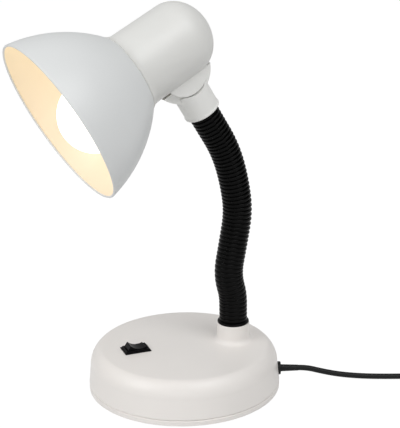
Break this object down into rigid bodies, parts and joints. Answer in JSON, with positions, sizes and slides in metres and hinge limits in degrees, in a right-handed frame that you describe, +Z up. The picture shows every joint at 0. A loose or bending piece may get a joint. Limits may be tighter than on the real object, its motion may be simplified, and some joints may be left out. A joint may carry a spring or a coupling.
{
  "type": "gooseneck desk lamp",
  "caption": "Gooseneck desk lamp with a round weighted base, rocker switch, black ribbed neck, knuckle joint, bell shade, bulb and coiled mains cord.",
  "frame": {"origin": "middle of the round base on the table, in the plane of its foot pads", "axes": "+Z up, -Y from the middle towards the rocker switch, +Y towards the neck's boss"},
  "size_m": [0.1987, 0.4235, 0.3058],
  "materials": {
    "white_plastic": "satin moulded plastic",
    "white_enamel": "satin powder coat",
    "black_plastic": "fine matte",
    "black_sleeve": "satin ribbed",
    "black_cord": "matte sheath",
    "foot_rubber": "matte",
    "steel": "mill finish",
    "zinc_steel": "zinc plated",
    "brass": "bare",
    "nickel": "nickel plated",
    "block_plastic": "moulded",
    "wire_sheath": "insulated wire",
    "holder_plastic": "moulded thermoset",
    "frosted_glass": "frosted, lit",
    "tie_strap": "strap"
  },
  "bodies": {
    "base": {"base_shell": "white_plastic", "base_bottom_cover": "white_plastic", "foot_pads": "foot_rubber", "ballast_plate": "steel", "base_cover_screws": "zinc_steel", "rocker_switch_frame": "black_plastic", "switch_blades": "brass", "terminal_block": "block_plastic", "terminal_inserts": "brass", "switch_wires": "wire_sheath", "base_lead": "black_cord", "neck_lead": "black_cord", "cord_gland": "black_cord", "neck_foot_ring": "black_plastic", "neck_washer": "zinc_steel", "neck_nut": "zinc_steel", "neck_core_foot": "steel", "neck_sleeve_foot": "black_sleeve", "mains_cord": "black_cord", "mains_cord_coil": "black_cord", "mains_cord_tail": "black_cord", "coil_tie": "tie_strap", "plug_body": "black_cord", "plug_pins": "nickel"},
    "rocker": {"rocker_button": "black_plastic"},
    "neck_link_1": {"neck_core_1": "steel", "neck_sleeve_1": "black_sleeve"},
    "neck_link_2": {"neck_core_2": "steel", "neck_sleeve_2": "black_sleeve"},
    "neck_link_3": {"neck_core_3": "steel", "neck_sleeve_3": "black_sleeve"},
    "neck_link_4": {"neck_core_4": "steel", "neck_sleeve_4": "black_sleeve"},
    "neck_link_5": {"neck_core_5": "steel", "neck_sleeve_5": "black_sleeve"},
    "neck_link_6": {"neck_core_6": "steel", "neck_sleeve_6": "black_sleeve"},
    "neck_link_7": {"neck_core_7": "steel", "neck_sleeve_7": "black_sleeve"},
    "neck_link_8": {"neck_core_8": "steel", "neck_sleeve_8": "black_sleeve"},
    "neck_link_9": {"neck_core_9": "steel", "neck_sleeve_9": "black_sleeve"},
    "collar": {"neck_core_top": "steel", "neck_sleeve_top": "black_sleeve", "neck_collar": "white_plastic"},
    "head": {"head_housing": "white_plastic", "knuckle_bolt": "zinc_steel", "knuckle_nut": "zinc_steel", "friction_washers": "zinc_steel", "holder_bracket": "zinc_steel", "lamp_holder": "holder_plastic", "thread_shell": "brass", "centre_contact": "brass", "lamp_shade": "white_enamel", "shade_screws": "zinc_steel", "bulb_globe": "frosted_glass", "bulb_cap": "nickel", "bulb_tip": "brass"}
  },
  "joints": [
    {"name": "neck_lower_fore_1", "type": "hinge", "parent": "base", "child": "neck_link_1", "pos_m": [0, 0.0404, 0.06403], "axis": [0.9681, 0.2504, 0], "range_deg": [-6.5, 9], "deforming": ["neck_sleeve_foot", "neck_sleeve_1"]},
    {"name": "neck_lower_side_1", "type": "hinge", "parent": "neck_link_1", "child": "neck_link_2", "pos_m": [0.00061, 0.03803, 0.08045], "axis": [-0.2435, 0.9416, 0.2327], "range_deg": [-9, 9], "deforming": ["neck_sleeve_2"]},
    {"name": "neck_lower_fore_2", "type": "hinge", "parent": "neck_link_2", "child": "neck_link_3", "pos_m": [0.00082, 0.03723, 0.097], "axis": [0.9681, 0.2504, 0], "range_deg": [-6.5, 9], "deforming": ["neck_sleeve_3"]},
    {"name": "neck_lower_side_2", "type": "hinge", "parent": "neck_link_3", "child": "neck_link_4", "pos_m": [0, 0.0404, 0.11334], "axis": [-0.2455, 0.9491, -0.1973], "range_deg": [-9, 9], "deforming": ["neck_sleeve_4"]},
    {"name": "neck_lower_fore_3", "type": "hinge", "parent": "neck_link_4", "child": "neck_link_5", "pos_m": [-0.00079, 0.04345, 0.12971], "axis": [0.9681, 0.2504, 0], "range_deg": [-6.5, 9], "deforming": ["neck_sleeve_5"]},
    {"name": "neck_upper_side_1", "type": "hinge", "parent": "neck_link_5", "child": "neck_link_6", "pos_m": [-0.00098, 0.0442, 0.14632], "axis": [-0.2498, 0.966, 0.0671], "range_deg": [-9, 9], "deforming": ["neck_sleeve_6"]},
    {"name": "neck_upper_fore_1", "type": "hinge", "parent": "neck_link_6", "child": "neck_link_7", "pos_m": [-0.00036, 0.04181, 0.16279], "axis": [0.9681, 0.2504, 0], "range_deg": [-9, 9], "deforming": ["neck_sleeve_7"]},
    {"name": "neck_upper_side_2", "type": "hinge", "parent": "neck_link_7", "child": "neck_link_8", "pos_m": [0.00066, 0.03786, 0.17895], "axis": [-0.2388, 0.9234, 0.3004], "range_deg": [-9, 9], "deforming": ["neck_sleeve_8"]},
    {"name": "neck_upper_fore_2", "type": "hinge", "parent": "neck_link_8", "child": "neck_link_9", "pos_m": [0.00221, 0.03187, 0.19441], "axis": [0.9681, 0.2504, 0], "range_deg": [-9, 9], "deforming": ["neck_sleeve_9"]},
    {"name": "neck_upper_side_3", "type": "hinge", "parent": "neck_link_9", "child": "collar", "pos_m": [0.00427, 0.02389, 0.20889], "axis": [-0.2146, 0.8299, 0.515], "range_deg": [-9, 9], "deforming": ["neck_sleeve_top"]},
    {"name": "head_tilt", "type": "hinge", "parent": "collar", "child": "head", "pos_m": [0.01132, -0.00337, 0.25574], "axis": [0.9681, 0.2504, 0], "range_deg": [-30, 30]},
    {"name": "rocker_press", "type": "hinge", "parent": "base", "child": "rocker", "pos_m": [0, -0.0385, 0.0345], "axis": [0.9945, 0.1045, 0], "range_deg": [0, 20]}
  ],
  "couplings": [
    {"joint": "neck_lower_fore_2", "follows": "neck_lower_fore_1", "ratio": 1},
    {"joint": "neck_lower_fore_3", "follows": "neck_lower_fore_1", "ratio": 1},
    {"joint": "neck_upper_fore_2", "follows": "neck_upper_fore_1", "ratio": 1},
    {"joint": "neck_lower_side_2", "follows": "neck_lower_side_1", "ratio": 1},
    {"joint": "neck_upper_side_2", "follows": "neck_upper_side_1", "ratio": 1},
    {"joint": "neck_upper_side_3", "follows": "neck_upper_side_1", "ratio": 1}
  ]
}
